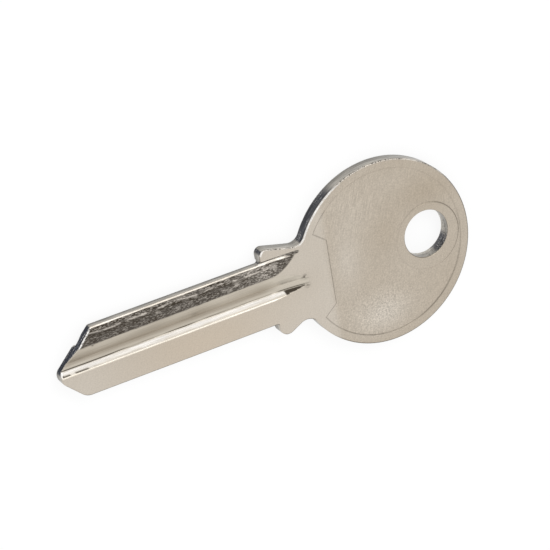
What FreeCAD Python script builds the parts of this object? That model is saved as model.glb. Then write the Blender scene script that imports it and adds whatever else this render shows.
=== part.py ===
import FreeCAD, Part
import math
import os

# Key blank for a five-pin cylinder lock, one piece of nickel-plated brass, in millimetres.
# The blade's mid-height line is the X axis and points to the tip. The stop plane is x = 0,
# +Y points to the blade's plain edge, and the back face lies at z = 0.

# Stock
THICKNESS = 1.8
EDGE_ROUND = 0.18

# Bow
BOW_DIAMETER = 24.5
BOW_TO_STOP = 17.0
BOW_OFFSET = -0.08
UPPER_NECK_R = 1.5
LOWER_NECK_R = 1.6

# Keyring hole and the flat ring around it, both placed from the bow's centre
HOLE_DIAMETER = 6.3
HOLE_SETBACK = 6.14
HOLE_OFFSET = -0.41
HOLE_ROUND = 0.12
RING_DIAMETER = 9.0
RING_SETBACK = 6.32
RING_OFFSET = -0.05

# Coined panel in each face of the bow
RIM_WIDTH = 1.2
PANEL_DEPTH = 0.12
PANEL_DRAFT = 0.06
PANEL_FRONT = 7.74
PANEL_FRONT_LENGTH = 8.8
PANEL_CORNER_DEG = 39.0

# Shoulders between bow and blade
UPPER_SHOULDER_REACH = 2.1
UPPER_SHOULDER_SLOPE_DEG = 14.4
UPPER_SHOULDER_NOSE_R = 0.8
LOWER_SHOULDER_SETBACK = 1.1
LOWER_SHOULDER_REACH = 2.55
LOWER_SHOULDER_SLOPE_DEG = 27.3
LOWER_SHOULDER_NOSE_R = 1.15
SHOULDER_ROOT_R = 0.3

# Blade
BLADE_HEIGHT = 8.5
BLADE_LENGTH = 28.0
TIP_APEX_OFFSET = 1.03
TIP_RAMP_DEG = 44.0
TIP_CHAMFER_DEG = 45.0
TIP_NOSE_R = 1.2
RAMP_CORNER_R = 0.5
CHAMFER_CORNER_R = 1.7

# Disc cutters that mill the blade's section, and where their centres stop
CUTTER_RADIUS = 19.6
CUTTER_STOP = 0.75

# Front of the section: a sloped upper cut, a crest, and a groove with a steep lower wall
UPPER_CUT_WALL = 4.69
UPPER_CUT_FOOT = 4.61
UPPER_CUT_DEPTH = 0.56
LIP_START = 4.28
LIP_END = 4.05
LIP_DEPTH = 0.41
CREST_HEIGHT = 2.17
CREST_DEPTH = 0.03
GROOVE_FLOOR_START = -0.52
GROOVE_FLOOR_END = 0.26
GROOVE_DEPTH = 0.72
GROOVE_BEVEL_START = 0.85
GROOVE_BEVEL_DEPTH = 0.08
GROOVE_EDGE = 1.01

# Back of the section: a relief behind the upper cut, and a groove in the lower half
RELIEF_EDGE = 2.05
RELIEF_FOOT = 2.15
RELIEF_DEPTH = 0.66
RELIEF_KNEE = 2.65
RELIEF_KNEE_DEPTH = 0.62
RELIEF_LEVEL = 3.3
RELIEF_LEVEL_DEPTH = 0.36
BACK_GROOVE_CENTRE = 2.45
BACK_GROOVE_WIDTH = 1.7
BACK_GROOVE_DEPTH = 0.55
BACK_GROOVE_WALL_RUN = 0.25

# Worked out from the sizes above
BOW_RADIUS = BOW_DIAMETER / 2
BOW_X = -BOW_TO_STOP
HALF_HEIGHT = BLADE_HEIGHT / 2
CLEARANCE = THICKNESS


def point(x, y, z=0.0):
    return FreeCAD.Vector(x, y, z)


def rounded_wire(corners):
    """Closed outline through (x, y, radius) corners, each corner rounded by its own radius."""
    count = len(corners)
    starts = []
    ends = []
    edges = []
    for i, (x, y, radius) in enumerate(corners):
        here = point(x, y)
        back = (point(*corners[i - 1][:2]) - here).normalize()
        ahead = (point(*corners[(i + 1) % count][:2]) - here).normalize()
        half_angle = back.getAngle(ahead) / 2
        run = radius / math.tan(half_angle)
        start = here + back * run
        end = here + ahead * run
        starts.append(start)
        ends.append(end)
        if radius > 0:
            inward = (back + ahead).normalize()
            centre = here + inward * (radius / math.sin(half_angle))
            edges.append((start, centre - inward * radius, end))
        else:
            edges.append(None)
    pieces = []
    for i in range(count):
        if edges[i]:
            pieces.append(Part.Arc(*edges[i]).toShape())
        pieces.append(Part.LineSegment(ends[i], starts[(i + 1) % count]).toShape())
    return Part.Wire(pieces)


def tip_apex():
    """Where the ramp and the chamfer would meet if the tip had no rounded nose."""
    half_angle = math.radians(TIP_RAMP_DEG + TIP_CHAMFER_DEG) / 2
    lean = math.radians(TIP_CHAMFER_DEG - TIP_RAMP_DEG) / 2
    centre_to_apex = TIP_NOSE_R / math.sin(half_angle) * math.cos(lean)
    return BLADE_LENGTH - TIP_NOSE_R + centre_to_apex, TIP_APEX_OFFSET


def blade_outline():
    """Shoulders, blade and tip, with a root that ends inside the bow."""
    apex_x, apex_y = tip_apex()
    ramp_x = apex_x - (apex_y + HALF_HEIGHT) / math.tan(math.radians(TIP_RAMP_DEG))
    chamfer_x = apex_x - (HALF_HEIGHT - apex_y) / math.tan(math.radians(TIP_CHAMFER_DEG))
    root_x = BOW_X + BOW_RADIUS * 0.8
    upper_y = -HALF_HEIGHT - UPPER_SHOULDER_REACH
    upper_root_y = upper_y - root_x * math.tan(math.radians(UPPER_SHOULDER_SLOPE_DEG))
    lower_x = -LOWER_SHOULDER_SETBACK
    lower_y = HALF_HEIGHT + LOWER_SHOULDER_REACH
    lower_run = lower_x - root_x
    lower_root_y = lower_y - lower_run * math.tan(math.radians(LOWER_SHOULDER_SLOPE_DEG))
    return rounded_wire([
        (root_x, upper_root_y, 0),
        (0, upper_y, UPPER_SHOULDER_NOSE_R),
        (0, -HALF_HEIGHT, SHOULDER_ROOT_R),
        (ramp_x, -HALF_HEIGHT, RAMP_CORNER_R),
        (apex_x, apex_y, TIP_NOSE_R),
        (chamfer_x, HALF_HEIGHT, CHAMFER_CORNER_R),
        (lower_x, HALF_HEIGHT, SHOULDER_ROOT_R),
        (lower_x, lower_y, LOWER_SHOULDER_NOSE_R),
        (root_x, lower_root_y, 0),
    ])


def neck_corner(plate, side):
    """The upright edge where a shoulder's slope meets the bow, on the -Y or +Y side."""
    corners = []
    for edge in plate.Edges:
        foot = edge.Vertexes[0].Point
        upright = edge.BoundBox.ZLength > THICKNESS / 2
        on_bow = abs(math.hypot(foot.x - BOW_X, foot.y - BOW_OFFSET) - BOW_RADIUS) < 1e-4
        if upright and on_bow and side * foot.y > 0:
            corners.append(edge)
    return corners


def blanked_plate():
    """The blank as it leaves the press: bow, shoulders and blade with rounded edges."""
    bow = Part.makeCylinder(BOW_RADIUS, THICKNESS, point(BOW_X, BOW_OFFSET))
    blade = Part.Face(blade_outline()).extrude(point(0, 0, THICKNESS))
    plate = bow.fuse(blade).removeSplitter()
    for side, radius in ((-1, UPPER_NECK_R), (1, LOWER_NECK_R)):
        plate = plate.makeFillet(radius, neck_corner(plate, side))
    borders = [edge for edge in plate.Edges if edge.BoundBox.ZLength < THICKNESS / 2]
    return plate.makeFillet(EDGE_ROUND, borders)


def drill_keyring_hole(plate):
    hole_x = BOW_X - HOLE_SETBACK
    hole_y = BOW_OFFSET + HOLE_OFFSET
    radius = HOLE_DIAMETER / 2
    drill = Part.makeCylinder(radius, THICKNESS + 2 * CLEARANCE, point(hole_x, hole_y, -CLEARANCE))
    plate = plate.cut(drill)
    mouths = [edge for edge in plate.Edges
              if isinstance(edge.Curve, Part.Circle)
              and abs(edge.Curve.Radius - radius) < 1e-6
              and edge.Curve.Center.distanceToPoint(point(hole_x, hole_y, edge.Curve.Center.z)) < 1e-6]
    return plate.makeFillet(HOLE_ROUND, mouths)


def panel_wire(grow, z):
    """The coined panel's outline at a height, grown outward by its draft."""
    radius = BOW_RADIUS - RIM_WIDTH + grow
    slope = math.radians(PANEL_CORNER_DEG)
    front = PANEL_FRONT + grow
    half = PANEL_FRONT_LENGTH / 2 - grow * math.tan((math.pi / 2 - slope) / 2)
    along = -(front * math.cos(slope) + half * math.sin(slope))
    along += math.sqrt(along * along + radius * radius - front * front - half * half)
    corner_x = front + along * math.cos(slope)
    corner_y = half + along * math.sin(slope)

    def spot(x, y):
        return point(BOW_X + x, BOW_OFFSET + y, z)

    rim = Part.Arc(spot(corner_x, corner_y), spot(-radius, 0), spot(corner_x, -corner_y))
    sides = [(corner_x, -corner_y), (front, -half), (front, half), (corner_x, corner_y)]
    lines = [Part.LineSegment(spot(*a), spot(*b)).toShape() for a, b in zip(sides, sides[1:])]
    return Part.Wire([rim.toShape()] + lines)


def coining_die():
    """What the die presses out of the front face: the panel, less the ring around the hole."""
    floor = THICKNESS - PANEL_DEPTH
    above = THICKNESS + PANEL_DEPTH
    pad = Part.makeLoft([panel_wire(0, floor), panel_wire(2 * PANEL_DRAFT, above)], True, True)
    foot = RING_DIAMETER / 2
    ring_at = point(BOW_X - RING_SETBACK, BOW_OFFSET + RING_OFFSET, floor)
    ring = Part.makeCone(foot, foot - 2 * PANEL_DRAFT, above - floor, ring_at)
    return pad.cut(ring)


def to_back(shape):
    """The same shape seen in the back face."""
    return shape.mirror(point(0, 0, THICKNESS / 2), point(0, 0, 1))


def milled_channel(section):
    """Channel cut in the front face by a disc cutter, from (y, depth) points of its section.

    It runs straight out past the tip, and rises out of the face on the cutter's radius
    towards the bow.
    """
    deepest = max(depth for _, depth in section)
    start = -CUTTER_STOP
    corners = [(section[0][0], -CLEARANCE)] + section + [(section[-1][0], -CLEARANCE)]
    points = [point(start, y, THICKNESS - depth) for y, depth in corners]
    face = Part.Face(Part.makePolygon(points + points[:1]))
    straight = face.extrude(point(BLADE_LENGTH + CUTTER_STOP + CLEARANCE, 0, 0))
    axis_at = point(start, 0, THICKNESS - deepest + CUTTER_RADIUS)
    run_out = face.revolve(axis_at, point(0, 1, 0), 60)
    return straight.fuse(run_out)


def front_section():
    return [
        (-UPPER_CUT_WALL, 0),
        (-UPPER_CUT_FOOT, UPPER_CUT_DEPTH),
        (-LIP_START, UPPER_CUT_DEPTH),
        (-LIP_END, LIP_DEPTH),
        (-CREST_HEIGHT, CREST_DEPTH),
        (GROOVE_FLOOR_START, GROOVE_DEPTH),
        (GROOVE_FLOOR_END, GROOVE_DEPTH),
        (GROOVE_BEVEL_START, GROOVE_BEVEL_DEPTH),
        (GROOVE_EDGE, 0),
    ]


def relief_section():
    return [
        (-UPPER_CUT_WALL, 0),
        (-UPPER_CUT_FOOT, RELIEF_LEVEL_DEPTH),
        (-RELIEF_LEVEL, RELIEF_LEVEL_DEPTH),
        (-RELIEF_KNEE, RELIEF_KNEE_DEPTH),
        (-RELIEF_FOOT, RELIEF_DEPTH),
        (-RELIEF_EDGE, 0),
    ]


def back_groove_section():
    half = BACK_GROOVE_WIDTH / 2
    floor = half - BACK_GROOVE_WALL_RUN
    return [
        (BACK_GROOVE_CENTRE - half, 0),
        (BACK_GROOVE_CENTRE - floor, BACK_GROOVE_DEPTH),
        (BACK_GROOVE_CENTRE + floor, BACK_GROOVE_DEPTH),
        (BACK_GROOVE_CENTRE + half, 0),
    ]


def key_blank():
    key = drill_keyring_hole(blanked_plate())
    die = coining_die()
    key = key.cut(die).cut(to_back(die))
    key = key.cut(milled_channel(front_section()))
    key = key.cut(to_back(milled_channel(relief_section())))
    key = key.cut(to_back(milled_channel(back_groove_section())))
    return key


os.makedirs("parts", exist_ok=True)
blank = key_blank().Solids[0]
blank.exportStep("parts/key_blank.step")
box = blank.BoundBox
print("key_blank valid", blank.isValid(), "volume", round(blank.Volume, 2), "faces", len(blank.Faces))
print("box", [round(v, 3) for v in (box.XMin, box.XMax, box.YMin, box.YMax, box.ZMin, box.ZMax)])
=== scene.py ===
import math

import bpy
import numpy as np
from bpy.props import FloatProperty, FloatVectorProperty, PointerProperty
from mathutils import Matrix, Vector
from mathutils.geometry import delaunay_2d_cdt
from mathutils.kdtree import KDTree


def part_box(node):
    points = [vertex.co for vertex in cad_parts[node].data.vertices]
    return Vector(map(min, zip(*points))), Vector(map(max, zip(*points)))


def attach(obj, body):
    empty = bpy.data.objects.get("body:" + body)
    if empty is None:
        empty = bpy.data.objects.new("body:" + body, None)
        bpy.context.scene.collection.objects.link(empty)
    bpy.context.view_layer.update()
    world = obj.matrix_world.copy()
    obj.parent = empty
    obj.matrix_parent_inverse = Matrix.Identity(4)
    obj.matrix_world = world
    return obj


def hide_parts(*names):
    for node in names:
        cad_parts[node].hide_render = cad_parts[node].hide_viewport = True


bl_info = {
    "name": "Key Blank Dresser",
    "version": (1, 0, 0),
    "blender": (4, 5, 0),
    "location": "3D View > Sidebar > Key Blank",
    "description": "Builds a nickel-plated key blank over its CAD solid, with a lit stage",
    "category": "Object",
}

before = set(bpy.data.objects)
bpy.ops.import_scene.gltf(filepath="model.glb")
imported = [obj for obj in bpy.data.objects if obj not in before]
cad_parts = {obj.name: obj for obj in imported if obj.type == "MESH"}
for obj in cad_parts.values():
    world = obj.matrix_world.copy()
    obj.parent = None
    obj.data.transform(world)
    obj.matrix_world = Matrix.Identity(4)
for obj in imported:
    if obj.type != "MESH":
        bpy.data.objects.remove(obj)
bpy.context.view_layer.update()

# The solid's own box gives the sizes that the piece shares with it
KEY_LOW, KEY_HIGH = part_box("key_blank")
STOCK = KEY_HIGH.z
BOW_RADIUS = (KEY_HIGH.y - KEY_LOW.y) / 2
BOW_Y = (KEY_HIGH.y + KEY_LOW.y) / 2
BOW_X = KEY_LOW.x + BOW_RADIUS
BLADE_LENGTH = KEY_HIGH.x

MM = 0.001

# Ways that an edge may face over the plan: to the dark room past the tip, to the light, to the shade.
# Edges that face them get a painted dark reflection, painted highlights and painted shade
DARK_SIDE = np.array([0.766, -0.643])
DARK_IN_HOLE = np.array([0.710, -0.704])
LIT_SIDE = np.array([0.1, -0.995])
SHADED_SIDE = np.array([-0.75, 0.66])

# Brushed lines on the panel cross the key this way
BRUSHED_TURN = math.radians(-69)

# Lines across the blade where the front section turns, counted from the blade's middle
CUT_EDGE = -4.69 * MM
CUT_FOOT = -4.61 * MM
LIP_START = -4.28 * MM
LIP_END = -4.05 * MM
CREST = -2.17 * MM
FLOOR_START = -0.52 * MM
FLOOR_END = 0.26 * MM
BEVEL_START = 0.85 * MM
GROOVE_EDGE = 1.01 * MM

# The same for the back: the relief behind the upper cut, and the groove in the lower half
RELIEF_LEVEL = -3.3 * MM
RELIEF_KNEE = -2.65 * MM
RELIEF_FOOT = -2.15 * MM
RELIEF_EDGE = -2.05 * MM
BACK_GROOVE_START = 1.6 * MM
BACK_GROOVE_END = 3.3 * MM
BACK_GROOVE_WALL = 0.25 * MM

# Small depths and steps of the two sections
LIP_STEP = 0.15 * MM
CREST_DEPTH = 0.03 * MM
BEVEL_DEPTH = 0.08 * MM
RELIEF_LEVEL_DEPTH = 0.36 * MM
RELIEF_KNEE_STEP = 0.04 * MM

# How far the mesh's fill reaches across the blade, past both shoulders, and the rows in a wall
FILL_LOW = -6.6 * MM
FILL_HIGH = 7.0 * MM
WALL_ROWS = 8

# Painted shading of the groove's slope at places across the blade, in millimetres from its middle
SLOPE_PLACES = (-2.17, -1.9, -1.5, -1.1, -0.8, -0.5, -0.2, -0.05, 0.1)
SLOPE_SHADING = (0.78, 0.80, 0.54, 0.37, 0.32, 0.10, 0.38, 0.85, 0.9)

# Stage
FLOOR_SIZE = 8.0
FLOOR_DROP = 0.02 * MM
SOFTBOX_SIZE = (0.35, 0.25)
SOFTBOX_SIDE = (-0.33, -0.64, 0.70)
SOFTBOX_DISTANCE = 0.6


def length(name, description, millimetres):
    """A size that a user may change, shown in the scene's unit of length."""
    return FloatProperty(name=name, description=description, default=millimetres * MM,
                         subtype="DISTANCE", unit="LENGTH", precision=5)


def angle(name, description, degrees):
    """A slope or a turn that a user may change."""
    return FloatProperty(name=name, description=description, default=math.radians(degrees),
                         subtype="ANGLE", unit="ROTATION")


def amount(name, description, default, high=1.0):
    """A plain number that a user may change, from nothing up to a limit."""
    return FloatProperty(name=name, description=description, default=default, min=0.0, max=high)


def colour(name, description, default):
    """A colour that a user may change."""
    return FloatVectorProperty(name=name, description=description, default=default,
                               size=3, min=0.0, max=1.0, subtype="COLOR")


class KeyShape(bpy.types.PropertyGroup):
    """Sizes of the blank that its box does not give."""

    edge_round: length("Edge round", "Radius worn on the plate's outer edges", 0.18)
    cut_edge_round: length("Cut edge round", "Radius worn where a milled face meets an edge", 0.08)
    upper_neck: length("Upper neck", "Radius between the bow and the upper shoulder", 1.5)
    lower_neck: length("Lower neck", "Radius between the bow and the lower shoulder", 1.6)

    hole_radius: length("Hole radius", "Radius of the keyring hole", 3.15)
    hole_setback: length("Hole setback", "Hole's distance behind the bow's centre", 6.14)
    hole_offset: length("Hole offset", "Hole's distance to the side of the bow's centre", -0.41)
    hole_round: length("Hole round", "Radius on the hole's mouths", 0.12)
    ring_radius: length("Ring radius", "Radius of the flat ring round the hole", 4.5)
    ring_setback: length("Ring setback", "Ring's distance behind the bow's centre", 6.32)
    ring_offset: length("Ring offset", "Ring's distance to the side of the bow's centre", -0.05)

    rim_width: length("Rim width", "Flat rim left around the coined panel", 1.2)
    panel_depth: length("Panel depth", "How deep the panel is coined", 0.12)
    panel_wall: length("Panel wall", "Width of the sloped wall around the panel", 0.07)
    panel_front: length("Panel front", "Panel's straight side, ahead of the bow's centre", 7.74)
    panel_front_length: length("Panel front length", "Length of the panel's straight side", 8.8)
    panel_corner: angle("Panel corner", "Slope of the panel's two cut corners", 39.0)

    upper_reach: length("Upper reach", "Upper shoulder's reach past the blade", 2.1)
    upper_slope: angle("Upper slope", "Slope of the upper shoulder's top", 14.4)
    upper_nose: length("Upper nose", "Radius of the upper shoulder's nose", 0.8)
    lower_setback: length("Lower setback", "Lower stop's distance behind the upper stop", 1.1)
    lower_reach: length("Lower reach", "Lower shoulder's reach past the blade", 2.55)
    lower_slope: angle("Lower slope", "Slope of the lower shoulder's underside", 27.3)
    lower_nose: length("Lower nose", "Radius of the lower shoulder's nose", 1.15)
    stop_root: length("Stop root", "Radius where a stop meets the blade", 0.3)

    blade_height: length("Blade height", "Height of the blade", 8.5)
    tip_offset: length("Tip offset", "Tip's distance from the blade's middle", 1.03)
    tip_ramp: angle("Tip ramp", "Slope of the ramp that lifts the pins", 44.0)
    tip_chamfer: angle("Tip chamfer", "Slope of the short lower side of the tip", 45.0)
    tip_nose: length("Tip nose", "Radius of the tip's nose", 1.2)
    ramp_corner: length("Ramp corner", "Radius where the ramp meets the upper edge", 0.5)
    chamfer_corner: length("Chamfer corner", "Radius where the chamfer meets the plain edge", 1.7)

    cutter_radius: length("Cutter radius", "Radius of the disc cutters", 19.6)
    cutter_stop: length("Cutter stop", "Where the cutters stop, behind the stop plane", 0.75)
    upper_cut_depth: length("Upper cut depth", "Depth of the upper cut at the blade's edge", 0.56)
    groove_depth: length("Groove depth", "Depth of the front groove", 0.72)
    relief_depth: length("Relief depth", "Depth of the relief behind the upper cut", 0.66)
    back_groove_depth: length("Back groove depth", "Depth of the groove in the back", 0.55)


class NickelFinish(bpy.types.PropertyGroup):
    """Colours and textures of the plating, with painted light and shade among them."""

    # Painted shading: the plate runs from lit to warm and shaded, by the face's painted shading mask
    plate_lit: colour("Light plate", "Satin nickel where it looks lightest", (0.600, 0.545, 0.472))
    plate_warm_shaded: colour("Warm plate", "Satin nickel where it looks darkest", (0.455, 0.388, 0.305))
    # Painted shading: the slope is lit at its sides and shaded in its middle
    slope_lit: colour("Light slope", "Nickel at the sides of the groove's slope", (0.590, 0.538, 0.455))
    slope_shaded: colour("Dark slope", "Nickel in the middle of the groove's slope", (0.370, 0.322, 0.258))
    # Painted highlight on the steep cut walls and the lip, and painted glints on the dark walls
    bright: colour("Bright", "Nickel on the steep cut walls", (0.82, 0.79, 0.75))
    # Painted highlight on the worn edges
    glint: colour("Glint", "Worn edges that catch the light", (0.96, 0.94, 0.91))
    # Stain in the furrows and the torn hole, and painted shade in the creases, along the edges and at the
    # groove's foot
    stain_and_shade: colour("Stain", "Stain in creases and furrows", (0.052, 0.042, 0.031))
    # Pale plating on the rough cut, with a painted highlight along its crest line
    rough_pale_and_sheen: colour("Rough light", "Plating on the rough cut's crests", (0.60, 0.55, 0.49))
    rough_grey: colour("Rough grey", "Plating between the rough cut's furrows", (0.098, 0.086, 0.074))
    edge_grey: colour("Edge grey", "Plating on the sheared edges", (0.33, 0.312, 0.280))
    # Painted dark reflection on the edges that face the dark room
    edge_dark_reflection: colour("Edge dark", "Edges that face the dark side", (0.021, 0.025, 0.038))
    roughness: amount("Roughness", "Roughness of the coined faces", 0.34)
    cut_roughness: amount("Cut roughness", "Roughness of the upper cut's torn slope", 0.42)
    grain: length("Grain", "Size of the plating's grain", 0.18)


class KeyStudio(bpy.types.PropertyGroup):
    """Camera, light and floor."""

    floor: colour("Floor", "Colour of the floor and the backdrop", (1.0, 1.0, 1.0))
    floor_glow: amount("Floor glow", "How much of the floor's white does not take a shadow", 0.85)
    key_light: amount("Softbox", "Power of the large softbox, in watts", 0.55, 50.0)
    sky: amount("Sky", "Strength of the even light from all round", 1.0, 4.0)
    lens: FloatProperty(name="Lens", description="Focal length of the camera, in millimetres",
                        default=162.55, min=20.0, max=400.0)
    aim: FloatVectorProperty(name="Aim", description="Point that the camera looks at", size=3,
                             default=(-1.993 * MM, -1.972 * MM, 0.9 * MM),
                             subtype="TRANSLATION", unit="LENGTH", precision=5)
    distance: length("Distance", "Camera's distance from the point it looks at", 306.2)
    azimuth: angle("Azimuth", "Camera's direction round the key", 40.158)
    elevation: angle("Elevation", "Camera's height over the face", 56.03)
    roll: angle("Roll", "Camera's turn about its own line of sight", 124.751)


def unit(vector):
    return vector / np.linalg.norm(vector)


def turn_of(vector):
    return math.atan2(vector[1], vector[0])


class Outline:
    """A closed line of points, each with the normal that points out of the metal."""

    def __init__(self, step):
        self.step = step
        self.points = []
        self.normals = []

    def arc(self, centre, radius, start, end, convex=True):
        """Adds an arc, without its last point. Turns grow on a convex arc and fall on a hollow one."""
        sweep = (end - start) % (2 * math.pi) if convex else -((start - end) % (2 * math.pi))
        count = max(4, math.ceil(abs(sweep) * radius / self.step))
        for i in range(count):
            turn = start + sweep * i / count
            out = np.array([math.cos(turn), math.sin(turn)])
            self.points.append(centre + radius * out)
            self.normals.append(out if convex else -out)

    def line(self, start, end):
        """Adds a straight run, without its last point."""
        run = end - start
        count = max(1, math.ceil(np.linalg.norm(run) / (self.step * 1.5)))
        out = unit(np.array([run[1], -run[0]]))
        for i in range(count):
            self.points.append(start + run * i / count)
            self.normals.append(out)

    def arrays(self):
        return np.array(self.points), np.array(self.normals)


def rounded_corner(before, corner, after, radius):
    """Start, end, centre and convexity of the arc that rounds a corner of an outline."""
    back = unit(before - corner)
    ahead = unit(after - corner)
    half = math.acos(np.clip(back @ ahead, -1, 1)) / 2
    run = radius / math.tan(half)
    centre = corner + unit(back + ahead) * (radius / math.sin(half))
    cross = back[0] * ahead[1] - back[1] * ahead[0]
    return corner + back * run, corner + ahead * run, centre, cross < 0


def neck_arc(shape, side, stop_x, reach, slope, radius):
    """The hollow arc between the bow and a shoulder: centre, point on the bow, point on the slope."""
    bow = np.array([BOW_X, BOW_Y * side])
    nose = np.array([stop_x, shape.blade_height / 2 + reach])
    along = -np.array([math.cos(slope), math.sin(slope)])
    out = np.array([-math.sin(slope), math.cos(slope)])
    start = nose + out * radius - bow
    half_b = start @ along
    c = start @ start - (BOW_RADIUS + radius) ** 2
    centre = bow + start + along * (-half_b - math.sqrt(half_b * half_b - c))
    on_bow = bow + (centre - bow) * BOW_RADIUS / (BOW_RADIUS + radius)
    mirror = np.array([1, side])
    return centre * mirror, on_bow * mirror, (centre - out * radius) * mirror


def key_outline(shape, step):
    """The blank's outline seen from the front, from the upper neck round the tip to the bow."""
    half = shape.blade_height / 2
    lean = (shape.tip_chamfer - shape.tip_ramp) / 2
    spread = (shape.tip_chamfer + shape.tip_ramp) / 2
    apex_x = BLADE_LENGTH - shape.tip_nose + shape.tip_nose / math.sin(spread) * math.cos(lean)
    apex = np.array([apex_x, shape.tip_offset])
    ramp_x = apex_x - (shape.tip_offset + half) / math.tan(shape.tip_ramp)
    chamfer_x = apex_x - (half - shape.tip_offset) / math.tan(shape.tip_chamfer)
    upper = neck_arc(shape, -1, 0.0, shape.upper_reach, shape.upper_slope, shape.upper_neck)
    lower = neck_arc(shape, 1, -shape.lower_setback, shape.lower_reach, shape.lower_slope,
                     shape.lower_neck)
    corners = [
        (np.array([0.0, -half - shape.upper_reach]), shape.upper_nose),
        (np.array([0.0, -half]), shape.stop_root),
        (np.array([ramp_x, -half]), shape.ramp_corner),
        (apex, shape.tip_nose),
        (np.array([chamfer_x, half]), shape.chamfer_corner),
        (np.array([-shape.lower_setback, half]), shape.stop_root),
        (np.array([-shape.lower_setback, half + shape.lower_reach]), shape.lower_nose),
    ]
    outline = Outline(step)
    centre, on_bow, on_slope = upper
    outline.arc(centre, shape.upper_neck, turn_of(on_bow - centre), turn_of(on_slope - centre), False)
    here = on_slope
    stations = [on_slope] + [corner for corner, _ in corners] + [lower[2]]
    for i, (corner, radius) in enumerate(corners):
        start, end, middle, convex = rounded_corner(stations[i], corner, stations[i + 2], radius)
        outline.line(here, start)
        outline.arc(middle, radius, turn_of(start - middle), turn_of(end - middle), convex)
        here = end
    centre, on_bow, on_slope = lower
    outline.line(here, on_slope)
    outline.arc(centre, shape.lower_neck, turn_of(on_slope - centre), turn_of(on_bow - centre), False)
    bow = np.array([BOW_X, BOW_Y])
    outline.arc(bow, BOW_RADIUS, turn_of(on_bow - bow), turn_of(upper[1] - bow))
    return outline.arrays()


def front_section(shape):
    """Depth of the front cuts across the blade, as (distance from the middle, depth) in metres."""
    cut = shape.upper_cut_depth
    groove = shape.groove_depth
    return np.array([
        (CUT_EDGE, 0), (CUT_FOOT, cut), (LIP_START, cut), (LIP_END, cut - LIP_STEP),
        (CREST, CREST_DEPTH), (FLOOR_START, groove), (FLOOR_END, groove),
        (BEVEL_START, BEVEL_DEPTH), (GROOVE_EDGE, 0),
    ])


def back_sections(shape):
    """Depths of the two cuts in the back, in the same form."""
    relief = shape.relief_depth
    groove = shape.back_groove_depth
    return [
        np.array([(CUT_EDGE, 0), (CUT_FOOT, RELIEF_LEVEL_DEPTH), (RELIEF_LEVEL, RELIEF_LEVEL_DEPTH),
                  (RELIEF_KNEE, relief - RELIEF_KNEE_STEP), (RELIEF_FOOT, relief), (RELIEF_EDGE, 0)]),
        np.array([(BACK_GROOVE_START, 0), (BACK_GROOVE_START + BACK_GROOVE_WALL, groove),
                  (BACK_GROOVE_END - BACK_GROOVE_WALL, groove), (BACK_GROOVE_END, 0)]),
    ]


def soft_depth(section, y, blur):
    """A section's depth at y, with its corners worn round over the blur's width."""
    spots = np.linspace(-1, 1, 9) * blur
    return np.mean([np.interp(y + s, section[:, 0], section[:, 1], 0, 0) for s in spots], axis=0)


class Cut:
    """A channel milled by a disc cutter: straight to the tip, rising out of the face to the bow."""

    def __init__(self, shape, section, blur):
        self.section = section
        self.blur = blur
        self.stop = -shape.cutter_stop
        self.axis = shape.cutter_radius - section[:, 1].max()

    def depth(self, x, y):
        cut = soft_depth(self.section, y, self.blur)
        behind = np.maximum(self.stop - x, 0)
        swept = np.sqrt(np.maximum((self.axis + cut) ** 2 - behind ** 2, 0)) - self.axis
        return np.where(cut > 1e-7, np.maximum(swept, 0), 0)

    def run_out(self, step):
        """Points where the cut leaves the face, spaced by step."""
        y = np.linspace(self.section[0, 0], self.section[-1, 0], 4000)
        cut = soft_depth(self.section, y, self.blur)
        x = self.stop - np.sqrt((self.axis + cut) ** 2 - self.axis ** 2)
        return resample(np.c_[x, y], step)


def resample(line, step):
    """Points along a line at even steps."""
    run = np.r_[0, np.cumsum(np.linalg.norm(np.diff(line, axis=0), axis=1))]
    spots = np.linspace(0, run[-1], max(2, round(run[-1] / step)))
    return np.c_[np.interp(spots, run, line[:, 0]), np.interp(spots, run, line[:, 1])]


def rise(value, low, high):
    """0 below the low value and 1 past the high one, with a smooth rise between them."""
    t = np.clip((value - low) / (high - low), 0, 1)
    return t * t * (3 - 2 * t)


def peak(value, place, width):
    """A soft line of 1 where a value passes a place."""
    return np.exp(-((value - place) / width) ** 2)


def grain_field(x, y, long, wide, seed):
    """Smooth random values between 0 and 1, in grains of the given length and width."""
    u = x / long
    v = y / wide
    low_u, low_v = math.floor(u.min()), math.floor(v.min())
    columns = int(u.max() - low_u) + 3
    rows = int(v.max() - low_v) + 3
    lattice = np.random.RandomState(seed).rand(rows, columns)
    i = np.floor(u - low_u).astype(int)
    j = np.floor(v - low_v).astype(int)
    s = rise(u - low_u - i, 0, 1)
    t = rise(v - low_v - j, 0, 1)
    low = lattice[j, i] * (1 - s) + lattice[j, i + 1] * s
    high = lattice[j + 1, i] * (1 - s) + lattice[j + 1, i + 1] * s
    return low * (1 - t) + high * t


def panel_distance(shape, x, y):
    """How far a point is outside the coined panel, or inside it when negative."""
    u = x - BOW_X
    v = y - BOW_Y
    rim = np.hypot(u, v) - (BOW_RADIUS - shape.rim_width)
    front = u - shape.panel_front
    slope = shape.panel_corner
    half = shape.panel_front_length / 2
    corner = (u - shape.panel_front) * math.sin(slope) - (np.abs(v) - half) * math.cos(slope)
    ring = shape.ring_radius - np.hypot(u + shape.ring_setback, v - shape.ring_offset)
    return np.maximum(np.maximum(rim, np.minimum(front, corner)), ring)


def panel_relief(shape, x, y):
    """How deep the coined panel is at a point."""
    outside = panel_distance(shape, x, y)
    return shape.panel_depth * (1 - rise(outside, -0.03 * MM, shape.panel_wall + 0.03 * MM))


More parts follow.
